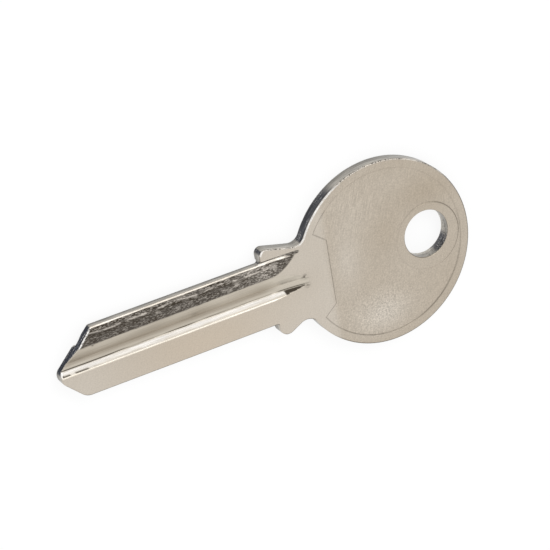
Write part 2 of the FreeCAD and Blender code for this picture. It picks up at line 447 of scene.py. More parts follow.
class FacePoints:
    """Points of one face in millimetres, with their distances to its edges. Only xy stays in metres."""

    def __init__(self, xy, milled, to_outer, to_hole, facing):
        self.xy = xy
        self.x, self.y = xy.T / MM
        self.milled = milled / MM
        self.to_outer = to_outer / MM
        self.to_hole = to_hole / MM
        self.facing = facing
        self.flat = 1 - rise(self.milled, 0.0, 0.02)
        self.cut = rise(self.milled, 0.01, 0.04)

    def grain(self, long, wide, seed):
        """Random values between 0 and 1, in grains of the given length and width."""
        return grain_field(self.x, self.y, long, wide, seed)

    def spot(self, at_x, at_y, width, height):
        """A soft round patch of 1 at a place on the key."""
        return np.exp(-(((self.x - at_x) / width) ** 2 + ((self.y - at_y) / height) ** 2))

    def edge_band(self, solid, end):
        """A band inside the outer edge, solid up to one distance and gone at the other."""
        return rise(-self.to_outer, -end, -solid) * rise(self.to_outer, 0.0, 0.03)


def face_tone_and_shading(at):
    """Painted shading over the face, with uneven tone at random: 0 is the warm, shaded zone, 1 the most
    lit.
    """
    tone_and_shading = 0.38 + 0.50 * rise(at.x, -9.6, -8.6) + 0.22 * (at.grain(5.0, 3.0, 3) - 0.5)
    # Painted lit and shaded patches over the face, over a random tone
    tone_and_shading += 0.14 * at.spot(-12.6, -6.2, 2.2, 3.2)
    tone_and_shading += 0.45 * at.spot(-11.6, -0.8, 1.8, 3.4)
    tone_and_shading += 0.55 * at.spot(-16.0, 8.0, 4.0, 2.4)
    tone_and_shading -= 0.25 * at.spot(-17.4, -2.6, 2.4, 2.8)
    tone_and_shading -= 0.30 * at.spot(-23.5, -6.8, 4.0, 3.4)
    tone_and_shading -= 0.05 * at.spot(-26.5, 5.0, 2.6, 5.0)
    tone_and_shading -= 0.14 * at.spot(15.0, 2.5, 7.0, 3.0)
    return np.clip(tone_and_shading, 0, 1)


def panel_crease(shape, xy):
    """Painted shade along the foot of the panel's wall, strongest on its low side in the photograph."""
    u, v = xy[:, 0] - BOW_X, xy[:, 1] - BOW_Y
    line = peak(panel_distance(shape, xy[:, 0], xy[:, 1]), 0.02 * MM, 0.055 * MM)
    rim_share = np.interp(v / np.hypot(u, v), (-0.9, -0.4, 0.3, 0.9), (0.05, 0.2, 0.6, 1.0))
    ring_u, ring_v = u + shape.ring_setback, v - shape.ring_offset
    ring = np.hypot(ring_u, ring_v)
    ring_share = np.interp((-ring_u - ring_v * 0.9) / ring, (-0.6, 0.1, 0.9), (0.06, 0.3, 1.0))
    share = np.where(ring < shape.ring_radius + 0.2 * MM, ring_share, rim_share)
    return line * np.where(u > shape.panel_front - 0.4 * MM, 0.7, share)


def hole_crease(shape, at):
    """Painted shade along the hole's mouth, on its low side in the photograph."""
    out = at.xy - hole_centre(shape)
    low_side = rise(out @ (0.70, 0.71) / np.linalg.norm(out, axis=1), 0.45, 0.85)
    return 0.75 * rise(-at.to_hole, -0.13, -0.05) * low_side


def plate_masks(shape, at, front):
    """Masks of the satin plate and of its worn edges, with painted shade in creases and along edges, and
    painted highlights on edges.
    """
    milled = 1 - at.flat
    lit = rise(at.facing @ LIT_SIDE, 0.15, 0.6)
    toward_dark = rise(at.facing @ DARK_SIDE, 0.86, 0.96)
    narrow = 0.34 * at.edge_band(0.13, 0.17)
    wide = 0.85 * at.edge_band(0.17, 0.21)
    # Painted highlight along the rounded edges on the lit side, wider where they turn toward the dark
    # side, and fainter on the milled cuts
    shine = lit * (narrow + (wide - narrow) * toward_dark)
    shine *= 1 - 0.75 * milled * rise(at.y, -3.6, -4.1)
    shine *= 1 - 0.9 * milled * rise(at.y, -2.3, -2.0) * (at.y < 0.3)
    # Dark dots along the rounded edges on the lit side
    dark_dots = rise(at.grain(1.2, 0.8, 31), 0.15, 0.45) * rise(-at.to_outer, -0.17, -0.11)
    dark_dots *= lit * at.flat * (1 - 0.7 * toward_dark)
    # A painted shaded outline along the outer edges that face the shade, and all round on the back
    outline = rise(0.07 + 0.035 * rise(-at.x, 8, 9.5) - at.to_outer, -0.10, 0.0)
    shade = 0.95 * rise(at.facing @ SHADED_SIDE, -0.25, 0.35)
    if not front:
        shade = np.maximum(shade, 0.9)
    creases = [panel_crease(shape, at.xy) * at.flat, outline * shade, hole_crease(shape, at)]
    neck = rise(at.x, -9.2, -8.6)
    return {
        "milled": milled,
        "crease_shade": np.max(creases, axis=0),
        "dark_edge_dots": dark_dots,
        "edge_shine": shine,
        "tone_and_shading": face_tone_and_shading(at),
        "peel": 0.85 + 1.2 * at.spot(-15.2, 7.6, 4.6, 2.8) - 0.35 * neck,
        "warmth": at.spot(9.0, 2.8, 10.0, 3.2),
        "brushed": 0.45 + 0.65 * at.spot(-13.5, -7.6, 4.0, 3.6) - 0.25 * neck,
    }


def rough_relief(at):
    """Depth of the furrows that the cutter tore in the upper cut's slope."""
    torn = rise(at.milled, 0.02, 0.05) * rise(-at.y, 2.10, 2.22) * rise(at.y, -4.2, -4.02)
    streaks = at.grain(1.6, 0.16, 7) - 0.5
    fine = at.grain(0.5, 0.10, 11) - 0.5
    return torn * (0.055 * streaks + 0.03 * fine) * MM


class FrontCuts:
    """Masks of the front's milled cuts: the steep wall, the lip, the rough cut and the slope."""

    def __init__(self, at):
        self.at = at
        self.at_tip = rise(at.x, 23.0, 24.8)
        self.spread = 0.11 * rise(at.x, 2, 12)
        self.wall = rise(at.y, 0.29, 0.35) * rise(self.spread - at.y, -1.07, -0.99)
        ragged = 0.5 * (at.grain(0.5, 0.3, 35) - 0.5)
        self.clean = rise(at.x + 0.3 * at.y + ragged, -2.75, -2.45)
        self.stained_end = self.wall * (1 - self.clean) * at.cut
        self.lip_band = rise(at.y, -4.36, -4.28) * rise(-at.y, 4.02, 4.10)
        self.lip = self.lip_band * rise(at.x, -4.1, -3.0)
        dashes = rise(at.grain(0.8, 0.15, 45), 0.15, 0.50) * (0.90 + 0.10 * self.at_tip)
        self.dashes = np.clip(peak(at.y, 0.72, 0.08 + 0.04 * self.at_tip) * dashes, 0, 1)
        border = 0.05 * rise(at.x, 4, 12) + 0.05 * (at.grain(0.6, 0.4, 47) - 0.5)
        self.rough = rise(border - at.y, 2.12, 2.24) * at.cut
        self.wavy = 0.30 * (at.grain(3.0, 40, 5) - 0.5)
        # Painted shade under the wavy crest line
        self.under_crest = peak(at.y, self.wavy - 3.20, 0.13) * rise(at.x, 0, 2)
        self.lower = rise(at.y, -3.45, -3.2)
        self.near_bow = rise(-at.x, -7.0, 1.0) * rise(at.y, -3.95, -3.8) * rise(at.x, -3.2, -1.6)

    def highlit_wall(self):
        """Painted highlight on the steep wall and the lip."""
        at = self.at
        # Painted highlight on the steep wall, broken by streaks and dimmed in a band across it
        wall = self.wall * self.clean * (0.70 + 0.30 * rise(at.grain(1.2, 0.12, 21), 0.25, 0.6))
        wall *= np.interp(at.y - self.spread, (0.4, 0.6, 0.7, 0.82, 0.98), (1.0, 0.85, 0.30, 0.10, 1.0))
        # Painted highlight along the lip, stronger towards both ends
        lip = 0.20 + 0.14 * rise(at.x, 15, 19) + 0.30 * rise(-at.x, -1.5, 0.5)
        lip *= (0.6 + 0.6 * at.grain(1.5, 0.8, 37)) * self.lip
        return np.maximum(wall * (1 - self.dashes), lip) * at.cut

    def rough_pale_and_sheen(self):
        """Pale plating and painted highlight on the rough cut: a painted highlight along the wavy crest
        line, pale blobs, and a paler stretch near the bow.
        """
        at = self.at
        # Painted highlight along the wavy crest line
        crest = peak(at.y, self.wavy - 3.50, 0.075) * rise(at.grain(0.7, 0.25, 9), 0.25, 0.55)
        crest *= rise(at.x, -1.5, 1.5) * (1 - 0.25 * rise(at.x, 5, 8))
        blobs = rise(at.grain(0.9, 0.35, 13), 0.66, 0.86) * rise(-at.x, -22, -18)
        light = np.clip(crest + 0.3 * blobs + 0.08 * self.near_bow, 0, 1)
        return light * (1 - 0.8 * self.stained_end)

    def furrow(self):
        """Stained furrows of the rough cut, with painted shade under the wavy crest line."""
        patches = rise(self.at.grain(1.8, 0.22, 19), 0.38, 0.62)
        furrow = patches * (1 - 0.65 * self.lower) * (1 - 0.5 * self.near_bow)
        return np.clip(furrow + 0.6 * self.under_crest, 0, 1) * self.rough

    def flecked(self):
        """How thickly light flecks lie on the rough cut."""
        share = 0.40 + 0.28 * self.near_bow + 0.14 * (1 - self.lower)
        share *= (1 - 0.7 * self.stained_end) * (1 - 0.5 * self.under_crest)
        return share * (1 - 0.12 * self.lower * rise(self.at.x, 14, 20))

    def slope_shading(self):
        """Painted shading of the groove's slope, from its crest down to its foot, with uneven tone at
        random.
        """
        at = self.at
        drift = 0.8 * (at.grain(4.5, 40, 41) - 0.5) * rise(-at.y, 0.2, 0.7)
        tone_and_shading = np.interp(at.y + drift, SLOPE_PLACES, SLOPE_SHADING)
        tone_and_shading += (0.75 - 0.5 * tone_and_shading) * rise(-at.x, -0.5, 2.5) + 0.10 * rise(-at.x, -8, -2)
        tone_and_shading -= 0.10 * rise(at.x, 6, 10) * rise(-at.x, -20, -16)
        tone_and_shading += 0.18 * (at.grain(4.0, 0.3, 23) - 0.5) + 0.26 * (at.grain(3.0, 0.9, 43) - 0.5)
        return np.clip(tone_and_shading - 0.45 * self.lip_band, 0, 1)

    def pits(self):
        """Two small pits in the slope, and the burrs where the groove runs out."""
        at = self.at
        burr = rise(at.grain(0.30, 0.16, 33), 0.35, 0.60)
        line = peak(at.milled, 0.012, 0.010) * (at.milled > 0) * (at.x < -3.0)
        line = line * rise(at.y, -2.0, -1.5) * rise(-at.y, 0.3, 0.6)
        return np.max([
            at.spot(23.29, -1.98, 0.14, 0.12),
            0.35 * at.spot(9.6, -0.95, 0.35, 0.16),
            0.45 * line,
            burr * at.spot(-5.55, -0.75, 0.40, 0.30),
            0.8 * burr * at.spot(-5.75, 0.45, 0.35, 0.32),
        ], axis=0)

    def groove_foot(self):
        """Painted shade along the line where the slope meets the steep wall, with the wall's stained end
        and the pits.
        """
        at = self.at
        fades = 0.38 + 0.50 * rise(at.x, 5.0, 9.0)
        broken = rise(at.grain(1.8, 0.5, 17), 0.12, 0.45)
        sway = 0.05 * (at.grain(2.2, 40, 39) - 0.5)
        # Painted shade along the foot of the steep wall
        foot = peak(at.y, 0.225 + sway, 0.072)
        foot = foot * np.maximum(fades * broken, 0.75 * rise(-at.x, 1.2, 2.4))
        foot = np.clip(1.35 * foot, 0, 1) * at.cut * rise(at.x, -5.8, -5.2)
        dashes = 0.9 * self.at_tip * rise(self.dashes, 0.35, 0.75) * self.wall
        return np.clip(np.max([foot, 0.9 * self.stained_end, dashes, 0.8 * self.pits()], axis=0), 0, 1)

    def masks(self):
        rough_cut = np.maximum(self.rough * (1 - self.lip), self.stained_end)
        return {
            "highlit_wall": self.highlit_wall(),
            "rough_cut": rough_cut,
            "rough_pale_and_sheen": self.rough_pale_and_sheen(),
            "furrow": self.furrow(),
            "flecked": self.flecked() * rough_cut,
            "slope_shading": self.slope_shading(),
            "groove_foot": self.groove_foot(),
        }


def panel_lines(shape, step):
    """Points along the panel's wall and the ring's, in rows a few hundredths of a millimetre apart."""
    rows = []
    slope = shape.panel_corner
    half = shape.panel_front_length / 2
    for grow in (-0.12 * MM, -0.05 * MM, 0.0, 0.04 * MM, 0.08 * MM, 0.12 * MM, 0.19 * MM):
        radius = BOW_RADIUS - shape.rim_width + grow
        front = shape.panel_front + grow
        knee = half - grow * math.tan((math.pi / 2 - slope) / 2)
        along = -(front * math.cos(slope) + knee * math.sin(slope))
        along += math.sqrt(along * along + radius * radius - front * front - knee * knee)
        corner = np.array([front + along * math.cos(slope), knee + along * math.sin(slope)])
        turn = turn_of(corner)
        turns = np.linspace(turn, 2 * math.pi - turn, round((2 * math.pi - 2 * turn) * radius / step))
        rim = np.c_[radius * np.cos(turns), radius * np.sin(turns)]
        lines = np.array([corner, (front, knee), (front, -knee), corner * (1, -1)])
        sides = [resample(np.array(pair), step) for pair in zip(lines, lines[1:])]
        row = np.vstack([rim] + sides) + (BOW_X, BOW_Y)
        ring_radius = shape.ring_radius - grow
        ring_turns = np.linspace(0, 2 * math.pi, round(2 * math.pi * ring_radius / step), endpoint=False)
        ring = np.c_[ring_radius * np.cos(ring_turns), ring_radius * np.sin(ring_turns)]
        ring = ring + (BOW_X - shape.ring_setback, BOW_Y + shape.ring_offset)
        for line in (row, ring):
            outside = panel_distance(shape, line[:, 0], line[:, 1])
            rows.append(line[np.abs(outside - grow) < 0.01 * MM])
    return np.vstack(rows)


def polar_fill(step):
    """Rings of points that fill the bow."""
    rings = []
    for radius in np.arange(step / 2, BOW_RADIUS, step):
        count = max(6, round(2 * math.pi * radius / step))
        turns = np.linspace(0, 2 * math.pi, count, endpoint=False) + radius / step
        rings.append(np.c_[BOW_X + radius * np.cos(turns), BOW_Y + radius * np.sin(turns)])
    return np.vstack(rings)


def across_blade(features, coarse, fine_bands, wear):
    """Distances across the blade: rows beside each feature line, and fill between them."""
    rows = set()
    for feature in features:
        for offset in (-1.6, -0.8, 0.0, 0.8, 1.6):
            rows.add(round(feature + offset * wear, 7))
    for low, high, step in fine_bands:
        rows.update(np.round(np.arange(low, high, step), 7))
    rows.update(np.round(np.arange(FILL_LOW, FILL_HIGH, coarse), 7))
    kept = []
    for row in sorted(rows):
        near_feature = any(abs(row - f) < 2 * wear for f in features)
        if not kept or row - kept[-1] > (0.45 * wear if near_feature else 0.9 * wear):
            kept.append(row)
    return np.array(kept)


def grid(columns, rows):
    x, y = np.meshgrid(columns, rows)
    return np.c_[x.ravel(), y.ravel()]


def distance_to(points, line):
    """Distance of each point to a line's nearest vertex."""
    tree = KDTree(len(line))
    for i, (x, y) in enumerate(line):
        tree.insert((x, y, 0), i)
    tree.balance()
    return np.array([tree.find((x, y, 0))[2] for x, y in points])


def inside(points, polygon):
    """Which points lie inside a polygon, by counting the sides that a ray crosses."""
    x, y = points[:, 0], points[:, 1]
    odd = np.zeros(len(points), bool)
    for (ax, ay), (bx, by) in zip(polygon, np.roll(polygon, -1, axis=0)):
        if ay == by:
            continue
        crosses = (ay > y) != (by > y)
        odd ^= crosses & (x < (bx - ax) * (y - ay) / (by - ay) + ax)
    return odd


def plan_area(points, faces):
    """Area of each triangle seen from above."""
    first, second, third = np.moveaxis(points[faces], 1, 0)
    side, other = second - first, third - first
    return np.abs(side[:, 0] * other[:, 1] - side[:, 1] * other[:, 0]) / 2


class Plan:
    """Triangles of one face of the key, seen from above, over the shared outer and hole edges."""

    def __init__(self, outer, hole, sets, gap):
        fixed = np.vstack([outer, hole])
        points = fixed
        for extra, spacing in sets:
            extra = extra[inside(extra, outer) & ~inside(extra, hole)]
            extra = extra[distance_to(extra, points) > spacing]
            extra = extra[distance_to(extra, fixed) > gap] if spacing > gap / 2 else extra
            points = np.vstack([points, extra])
        n, m = len(outer), len(hole)
        edges = [(i, (i + 1) % n) for i in range(n)] + [(n + i, n + (i + 1) % m) for i in range(m)]
        scaled = [Vector(p) for p in points / MM]
        made = delaunay_2d_cdt(scaled, edges, [], 0, 1e-6, True)
        self.xy = np.array([tuple(v) for v in made[0]]) * MM
        faces = np.array(made[2])
        middles = self.xy[faces].mean(axis=1)
        kept = inside(middles, outer) & ~inside(middles, hole)
        place = {}
        for new, olds in enumerate(made[3]):
            for old in olds:
                place[old] = new
        self.outer = np.array([place[i] for i in range(n)])
        self.hole = np.array([place[n + i] for i in range(m)])
        # Three points on a straight side of the outline can make a triangle that has no area
        flat = plan_area(self.xy, faces) < 1e-5 * MM * MM
        self.faces = faces[kept & ~(flat & np.isin(faces, self.outer).all(axis=1))]


def worn_drop(distance, radius):
    """How far a rounded edge falls below its face, at a distance in from the edge."""
    inward = np.clip(radius - distance, 0, None)
    return radius - np.sqrt(np.maximum(radius ** 2 - inward ** 2, 0))


def rounding_rings(points, normals, radius):
    """Rows of points inside an edge, close enough together to carry its rounding."""
    rows = []
    for turn in (15, 30, 45, 60, 75, 90):
        rows.append(points - normals * radius * (1 - math.cos(math.radians(turn))))
    rows.append(points - normals * radius * 1.25)
    return np.vstack(rows)


def hole_centre(shape):
    return np.array([BOW_X - shape.hole_setback, BOW_Y + shape.hole_offset])


def hole_edge(shape, step):
    """The keyring hole's edge, with normals that point out of the metal."""
    count = round(2 * math.pi * shape.hole_radius / step)
    turns = np.linspace(0, 2 * math.pi, count, endpoint=False)
    out = np.c_[np.cos(turns), np.sin(turns)]
    return hole_centre(shape) + out * shape.hole_radius, -out


class KeyMesh:
    """The whole blank as one closed mesh: a front face, a back face and the walls between."""

    def __init__(self, shape):
        self.shape = shape
        self.step = 0.16 * MM
        self.outer, self.outer_normals = key_outline(shape, self.step)
        self.hole, self.hole_normals = hole_edge(shape, self.step)
        self.wear = 0.035 * MM
        self.front_cuts = [Cut(shape, front_section(shape), self.wear)]
        self.back_cuts = [Cut(shape, section, self.wear) for section in back_sections(shape)]

    def face_plan(self, cuts, bands, blade_step):
        shape = self.shape
        rings = np.vstack([
            rounding_rings(self.outer, self.outer_normals, shape.edge_round),
            rounding_rings(self.hole, self.hole_normals, shape.hole_round),
        ])
        run_outs = np.vstack([cut.run_out(0.1 * MM) for cut in cuts])
        features = sorted({round(y, 7) for cut in cuts for y in cut.section[:, 0]})
        rows = across_blade(features, 0.45 * MM, bands, self.wear)
        start = run_outs[:, 0].min() - 0.6 * MM
        run_in = grid(np.arange(start, 0, 0.12 * MM), rows)
        blade = grid(np.arange(0, BLADE_LENGTH, blade_step), rows)
        lines = panel_lines(shape, 0.2 * MM)
        sets = [
            (rings, 0.008 * MM),
            (run_outs, 0.02 * MM),
            (lines, 0.02 * MM),
            (np.vstack([run_in, blade]), 0.022 * MM),
            (polar_fill(0.55 * MM), 0.28 * MM),
        ]
        return Plan(self.outer, self.hole, sets, shape.edge_round * 1.15)

    def face_depth(self, xy, cuts, front):
        """Depth of a face below the stock's surface at each point, and its masks."""
        shape = self.shape
        x, y = xy[:, 0], xy[:, 1]
        milled = np.max([cut.depth(x, y) for cut in cuts], axis=0)
        to_outer, nearest = distance_to_edge(xy, self.outer)
        to_hole, _ = distance_to_edge(xy, self.hole)
        share = rise(milled, 0.0, 0.12 * MM)
        radius = shape.edge_round + (shape.cut_edge_round - shape.edge_round) * share
        depth = np.maximum(milled, panel_relief(shape, x, y))
        depth += worn_drop(to_outer, radius) + worn_drop(to_hole, shape.hole_round)
        at = FacePoints(xy, milled, to_outer, to_hole, self.outer_normals[nearest])
        masks = plate_masks(shape, at, front)
        if front:
            depth += rough_relief(at)
            masks.update(FrontCuts(at).masks())
        return depth, masks

    def build(self):
        """Vertices, faces and per-vertex masks of the closed mesh."""
        front = self.face_plan(self.front_cuts, [(-4.7 * MM, -2.1 * MM, 0.08 * MM),
                                                 (-2.1 * MM, 1.2 * MM, 0.13 * MM)], 0.22 * MM)
        back = self.face_plan(self.back_cuts, [(-4.7 * MM, -1.8 * MM, 0.25 * MM)], 0.5 * MM)
        depth, front_masks = self.face_depth(front.xy, self.front_cuts, True)
        back_depth, back_masks = self.face_depth(back.xy, self.back_cuts, False)
        behind = len(front.xy)
        start = behind + len(back.xy)
        points = [np.c_[front.xy, STOCK - depth], np.c_[back.xy, back_depth]]
        faces = [front.faces, back.faces[:, ::-1] + behind]
        walls = []
        for top, bottom, normals, bored in (
            (front.outer, back.outer, self.outer_normals, False),
            (front.hole, back.hole, self.hole_normals, True),
        ):
            count = len(top)
            inner = start + np.arange(count * (WALL_ROWS - 1)).reshape(-1, count)
            rows = np.vstack([top, inner, bottom + behind])
            for upper, under in zip(rows, rows[1:]):
                quads = np.c_[upper, under, np.roll(under, -1), np.roll(upper, -1)]
                faces.append(quads[:, ::-1] if bored else quads)
            high, low = points[0][top], points[1][bottom]
            places = high + (low - high) * (np.arange(WALL_ROWS + 1) / WALL_ROWS)[:, None, None]
            points.append(places[1:-1].reshape(-1, 3))
            walls.append((rows, wall_masks(places, normals, bored)))
            start += inner.size
        masks = {name: np.zeros(start) for name in (*front_masks, *walls[0][1])}
        for name, values in front_masks.items():
            masks[name][:behind] = values
        for name, values in back_masks.items():
            masks[name][behind:behind + len(back.xy)] = values
        for rows, values in walls:
            for name in values:
                masks[name][rows] = values[name]
        return np.vstack(points), [tuple(map(int, face)) for part in faces for face in part], masks


def wall_masks(places, normals, bored):
    """Masks of a wall, given in rows from the front face to the back: in the hole, or round the key, with
    a painted dark reflection and painted shading by height.
    """
    x, y, z = np.moveaxis(places, 2, 0) / MM
    if bored:
        # Painted dark reflection in the hole where it faces the dark room
        dark = 0.90 * rise(normals @ DARK_IN_HOLE, 0.86, 0.97)
        # Painted shading by height in the hole
        tone_and_shading = np.interp(z, (0.4, 0.8, 1.2, 1.6), (2.0, 1.35, 0.90, 1.15))
    else:
        # Painted dark reflection on the walls that face the dark room past the tip
        dark = rise(normals @ DARK_SIDE, 0.915, 0.970) * np.where(x[0] > 20, 1.0, 0.88)
        # Painted shading by height: the walls darker towards the back face, and the dark side darker near
        # the front face
        bow = np.interp(z, (0.3, 0.6, 0.9, 1.2, 1.5), (0.74, 0.92, 0.97, 1.23, 1.32))
        blade = np.interp(z, (0.38, 0.46, 0.7, 1.0, 1.2), (0.20, 0.42, 0.75, 1.15, 1.38))
        tone_and_shading = np.where((x > 0.3) & (y < -4.0), blade, bow) * (1 - 0.6 * dark * rise(z, 1.3, 1.55))
    return {"wall": 1.0, "bore": float(bored), "dark_reflection": dark, "wall_shading": tone_and_shading}


def distance_to_edge(points, edge):
    """Distance of each point to a closed edge, measured to its sides, and the nearest side."""
    ahead = np.roll(edge, -1, axis=0)
    run = ahead - edge
    size = (run ** 2).sum(axis=1)
    best = np.empty(len(points))
    nearest = np.empty(len(points), int)
    for start in range(0, len(points), 2000):
        block = points[start:start + 2000, None, :]
        t = np.clip(((block - edge) * run).sum(axis=2) / size, 0, 1)
        gap = ((block - edge - t[..., None] * run) ** 2).sum(axis=2)
        nearest[start:start + 2000] = gap.argmin(axis=1)
        best[start:start + 2000] = np.sqrt(gap.min(axis=1))
    return best, nearest


def add_mesh(scene, name, points, faces, masks):
    """A new object with smooth faces, whose masks are attributes of its vertices."""
    mesh = bpy.data.meshes.new(name)
    mesh.from_pydata(points.tolist(), [], faces)
    mesh.validate()
    if not mesh.polygons:
        raise RuntimeError("The sizes leave no face to build")
    for mask, values in masks.items():
        layer = mesh.attributes.new(mask, "FLOAT", "POINT")
        layer.data.foreach_set("value", values.astype(np.float32))
    mesh.shade_smooth()
    mesh.update()
    piece = bpy.data.objects.new(name, mesh)
    scene.collection.objects.link(piece)
    return piece


class NodeTree:
    """A short way to add and join shader nodes."""

    def __init__(self, tree):
        self.tree = tree

    def add(self, kind, **settings):
        node = self.tree.nodes.new(kind)
        for name, value in settings.items():
            setattr(node, name, value)
        return node

    def join(self, source, target):
        self.tree.links.new(source, target)

    def mix(self, factor, low, high):
        """A colour between two colours. Each may be a socket or a fixed colour."""
        node = self.add("ShaderNodeMix", data_type="RGBA")
        for socket, value in ((node.inputs[0], factor), (node.inputs[6], low), (node.inputs[7], high)):
            self.set(socket, value)
        return node.outputs[2]

    def tint(self, colour, amount):
        """A colour made darker or lighter by an amount."""
        node = self.add("ShaderNodeMix", data_type="RGBA", blend_type="MULTIPLY", clamp_result=True)
        for socket, value in ((node.inputs[0], 1.0), (node.inputs[6], colour), (node.inputs[7], amount)):
            self.set(socket, value)
        return node.outputs[2]

    def maths(self, operation, a, b=0.0, clamp=False):
        node = self.add("ShaderNodeMath", operation=operation, use_clamp=clamp)
        self.set(node.inputs[0], a)
        self.set(node.inputs[1], b)
        return node.outputs[0]

    def span(self, value, low, high, to_low=0.0, to_high=1.0):
        """A value moved from one range into another, and held inside it."""
        node = self.add("ShaderNodeMapRange", clamp=True)
        for socket, number in zip(node.inputs, (value, low, high, to_low, to_high)):
            self.set(socket, number)
        return node.outputs[0]

    def set(self, socket, value):
        if isinstance(value, bpy.types.NodeSocket):
            self.join(value, socket)
        elif hasattr(value, "__len__") and len(value) == 3 and socket.type == "RGBA":
            socket.default_value = (*value, 1.0)
        else:
            socket.default_value = value


def group_tree(name, inputs, outputs):
    """A new shader node group with named sockets, and its input and output nodes."""
    tree = bpy.data.node_groups.new(name, "ShaderNodeTree")
    for label, kind, default in inputs:
        socket = tree.interface.new_socket(label, in_out="INPUT", socket_type=kind)
        if default is not None:
            socket.default_value = default
    for label, kind in outputs:
        tree.interface.new_socket(label, in_out="OUTPUT", socket_type=kind)
    nodes = NodeTree(tree)
    return nodes, nodes.add("NodeGroupInput"), nodes.add("NodeGroupOutput")


def plating_grain_group():
    """Pebbled grain of the plating, in millimetres, as a height."""
    nodes, start, end = group_tree(
        "Plating Grain",
        [("Position", "NodeSocketVector", None), ("Grain", "NodeSocketFloat", 0.2)],
        [("Height", "NodeSocketFloat")])
    scale = nodes.maths("DIVIDE", 1.0, start.outputs["Grain"])
    pebble = nodes.add("ShaderNodeTexNoise")
    pebble.inputs["Detail"].default_value = 3.0
    pebble.inputs["Roughness"].default_value = 0.6
    nodes.join(start.outputs["Position"], pebble.inputs["Vector"])
    nodes.join(scale, pebble.inputs["Scale"])
    nodes.join(pebble.outputs[0], end.inputs["Height"])
    return nodes.tree


def drawn_streaks_group():
    """Fine streaks along one direction, as a height."""
    nodes, start, end = group_tree(
        "Drawn Streaks",
        [("Position", "NodeSocketVector", None), ("Length", "NodeSocketFloat", 2.0),
         ("Width", "NodeSocketFloat", 0.08), ("Turn", "NodeSocketFloat", 0.0)],
        [("Streak", "NodeSocketFloat")])
    turned = nodes.add("ShaderNodeVectorRotate", rotation_type="Z_AXIS")
    nodes.join(start.outputs["Position"], turned.inputs["Vector"])
    nodes.join(start.outputs["Turn"], turned.inputs["Angle"])
    inverse = nodes.add("ShaderNodeCombineXYZ")
    nodes.join(nodes.maths("DIVIDE", 1.0, start.outputs["Length"]), inverse.inputs[0])
    nodes.join(nodes.maths("DIVIDE", 1.0, start.outputs["Width"]), inverse.inputs[1])
    inverse.inputs[2].default_value = 1.0
    stretched = nodes.add("ShaderNodeVectorMath", operation="MULTIPLY")
    nodes.join(turned.outputs[0], stretched.inputs[0])
    nodes.join(inverse.outputs[0], stretched.inputs[1])
    noise = nodes.add("ShaderNodeTexNoise")
    noise.inputs["Scale"].default_value = 1.0
    noise.inputs["Detail"].default_value = 3.0
    nodes.join(stretched.outputs[0], noise.inputs["Vector"])
    nodes.join(noise.outputs[0], end.inputs["Streak"])
    return nodes.tree


def place_group(nodes, tree, **values):
    """A node group placed in a material, with its own values."""
    node = nodes.add("ShaderNodeGroup", node_tree=tree)
    for name, value in values.items():
        nodes.set(node.inputs[name], value)
    return node


